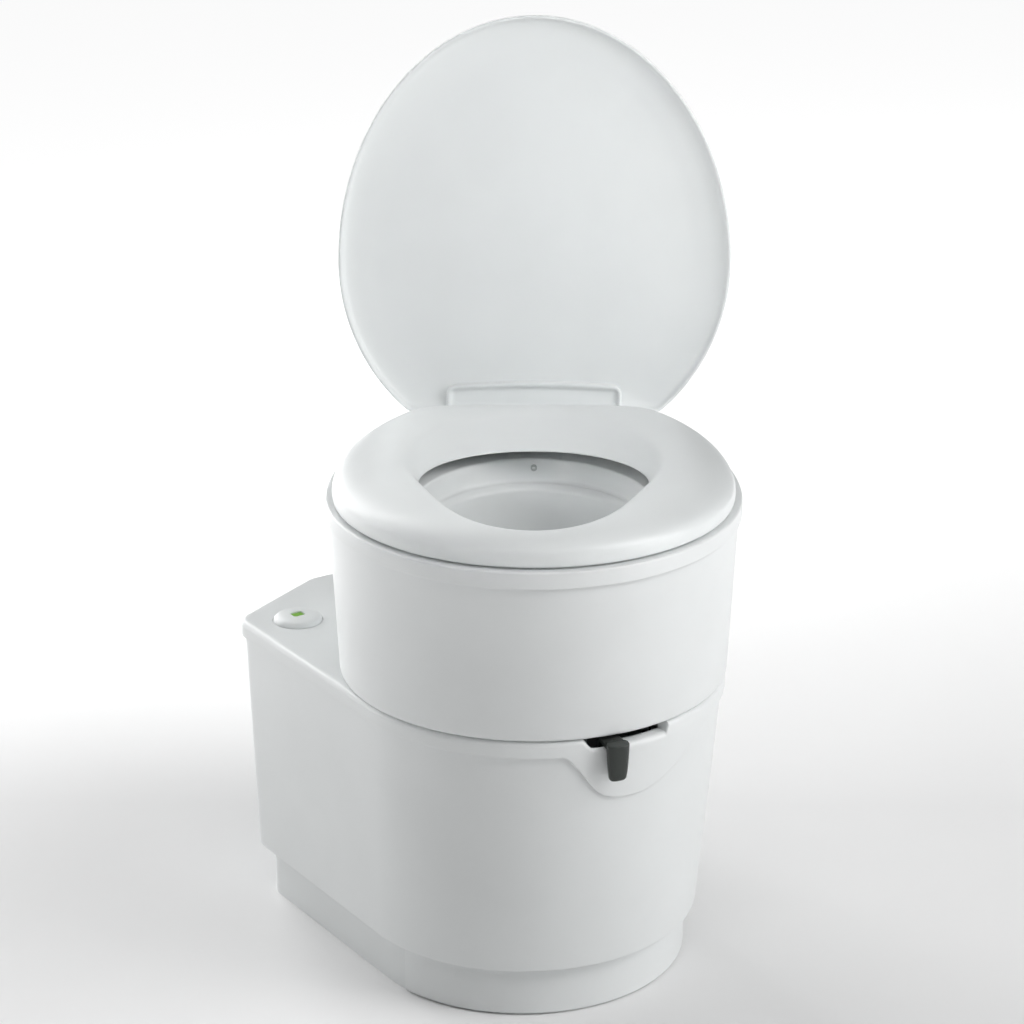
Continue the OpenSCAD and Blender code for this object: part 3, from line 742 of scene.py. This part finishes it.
def make_lever():
    """Lever grip: a flattened bar with a sloping cap and a rounded lower end."""
    low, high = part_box("lever_grip")
    swing = (low + high) / 2
    angle = math.atan2(swing.y, swing.x) - FRONT
    out = -Vector((swing.x, swing.y)).length / MM
    place = Matrix.Rotation(angle, 4, "Z") @ Matrix.Translation((0, out, 0))
    z0, z1 = low.z / MM + 1.8, high.z / MM
    # height, half width, half depth
    keys = blended([(z0 + 0.1, 3.5, 1.6), (z0 + 0.5, 6.2, 3.0), (z0 + 1.9, 7.8, 4.2), (z0 + 5, 8.6, 4.9),
                    (z0 + 14, 9.6, 5.2), (z0 + 26, 10.4, 5.5), (z1 - 6, 10.6, 5.7), (z1 - 3.6, 10.6, 5.6),
                    (z1 - 2.4, 9.8, 5.2), (z1 - 2, 5, 2.8)], 4)
    loops = []
    for z, half_x, half_y in keys:
        loop = lozenge(half_x, half_y, z, 2.6)
        loops.append([(x, y, h + (1.6 + 0.25 * (y - x * 0.1)) * max(0, (z - z1 + 12) / 12))
                      for x, y, h in loop])
    return piece("lever_grip_smooth", loft(loops, closed=False), "lever", slot_of["lever_grip"],
                 ["lever_grip"], place)


make_lever()


# ---------------------------------------------------------------- carried-over CAD pieces

def refine(node, width):
    """Gives a CAD node its finish, merges its flat facets and rounds its edges off."""
    made = frame["nodes"][node]
    made.data.materials.clear()
    # lever_sector gets near-black here as painted shade for the deck's slot; the pads get their own pale finish
    made.data.materials.append(OWN_FINISH_AND_PAINTED_SHADE.get(node) or FINISH[slot_of[node]])
    merge = made.modifiers.new("merge_flats", "DECIMATE")
    merge.decimate_type = "DISSOLVE"
    merge.angle_limit = math.radians(1)
    bevel = made.modifiers.new("round_edges", "BEVEL")
    bevel.width = width * MM
    bevel.segments = 2
    bevel.limit_method = "ANGLE"
    bevel.angle_limit = math.radians(35)
    bevel.harden_normals = False
    bevel.use_clamp_overlap = True
    made.modifiers.new("even_shading", "WEIGHTED_NORMAL").keep_sharp = True


for name, made in frame["nodes"].items():
    if not made.hide_render:
        refine(name, 1.0 if name in ("tank_body", "floor_pan") else 0.4)


# ---------------------------------------------------------------- floor, light and camera

def make_floor():
    """A plain pale floor that fills the view, and glows beyond the object like a studio's backdrop."""
    half = 12.0
    mesh = bpy.data.meshes.new("floor")
    mesh.from_pydata([(-half, -half, 0), (half, -half, 0), (half, half, 0), (-half, half, 0)], [],
                     [(0, 1, 2, 3)])
    mat = finish_of("floor_paint", (0.9, 0.9, 0.9), 0.8, 0.1, 0, 0.004, glow=1)
    tree = mat.node_tree
    place = tree.nodes.new("ShaderNodeTexCoord")
    # metres beyond the object, the way the bowl's back faces
    behind = tree.nodes.new("ShaderNodeVectorMath")
    behind.operation = "DOT_PRODUCT"
    behind.inputs[1].default_value = (math.sin(-BOWL_TURN), math.cos(-BOWL_TURN), 0)
    tree.links.new(place.outputs["Object"], behind.inputs[0])
    # metres from the object, any way
    away = tree.nodes.new("ShaderNodeVectorMath")
    away.operation = "LENGTH"
    tree.links.new(place.outputs["Object"], away.inputs[0])
    stronger = tree.nodes.new("ShaderNodeMath")
    stronger.operation = "MAXIMUM"
    tree.links.new(mapped(tree, behind.outputs["Value"], 0.3, 2.0, 0.0, 1.0), stronger.inputs[0])
    tree.links.new(mapped(tree, away.outputs["Value"], 1.6, 3.4, 0.0, 0.75), stronger.inputs[1])
    glow = tree.nodes["Principled BSDF"].inputs["Emission Strength"]
    tree.links.new(stronger.outputs["Value"], glow)
    mesh.materials.append(mat)
    made = bpy.data.objects.new("floor", mesh)
    bpy.context.scene.collection.objects.link(made)


make_floor()

HEADING = -BOWL_TURN - 0.0085       # the camera looks very nearly into the bowl's front
CAMERA_AT = Vector((-1.385, -2.0397, 1.3603))
CAMERA_DOWN = math.radians(20.32)
LENS, SENSOR = 100.1, 36            # millimetres


def aim(made, direction):
    """Turns a camera or lamp to look along a direction."""
    made.rotation_mode = "QUATERNION"
    made.rotation_quaternion = direction.to_track_quat("-Z", "Y")


def make_camera():
    """The camera, looking down at the object from its front left."""
    data = bpy.data.cameras.new("camera")
    data.lens = LENS
    data.sensor_width = SENSOR
    data.clip_end = 100
    camera = bpy.data.objects.new("camera", data)
    bpy.context.scene.collection.objects.link(camera)
    camera.location = CAMERA_AT
    flat = math.cos(CAMERA_DOWN)
    aim(camera, Vector((math.sin(HEADING) * flat, math.cos(HEADING) * flat, -math.sin(CAMERA_DOWN))))
    bpy.context.scene.camera = camera


make_camera()


def softbox(name, side, height, distance, width, tall, power, look=0.3, spread=180):
    """A soft light; side is in degrees to the right of the camera, seen from the object."""
    data = bpy.data.lights.new(name, "AREA")
    data.shape = "RECTANGLE"
    data.size = width
    data.size_y = tall
    data.energy = power
    data.spread = math.radians(spread)
    made = bpy.data.objects.new(name, data)
    bpy.context.scene.collection.objects.link(made)
    angle = math.radians(-90) - HEADING + math.radians(side)
    made.location = (distance * math.cos(angle), distance * math.sin(angle), height)
    aim(made, Vector((0, 0, look)) - made.location)


# name, side, height, distance, width, tall, watts, and for one the height aimed at and its spread
softbox("left_rear", -145, 1.2, 2.2, 1.2, 2.0, 30.5)
softbox("left", -120, 1.0, 2.2, 1.2, 2.0, 17)
softbox("left_front", -95, 1.0, 2.2, 1.2, 2.0, 8.5)
softbox("right", 72, 1.1, 2.2, 1.2, 2.0, 26)
softbox("right_high", 60, 2.2, 1.8, 1.2, 1.2, 16)
softbox("over_front", 0, 2.8, 1.6, 1.6, 1.6, 14)
softbox("on_lid", -40, 1.7, 2.6, 0.6, 0.6, 0.42, 0.78, 20)
softbox("over_rear", 180, 2.8, 1.4, 1.6, 1.6, 4)

world = bpy.data.worlds.new("studio")
world.use_nodes = True
background = world.node_tree.nodes["Background"]
background.inputs["Color"].default_value = (0.96, 0.98, 1, 1)
background.inputs["Strength"].default_value = 0.04
bpy.context.scene.world = world
bpy.context.scene.view_settings.view_transform = "Standard"
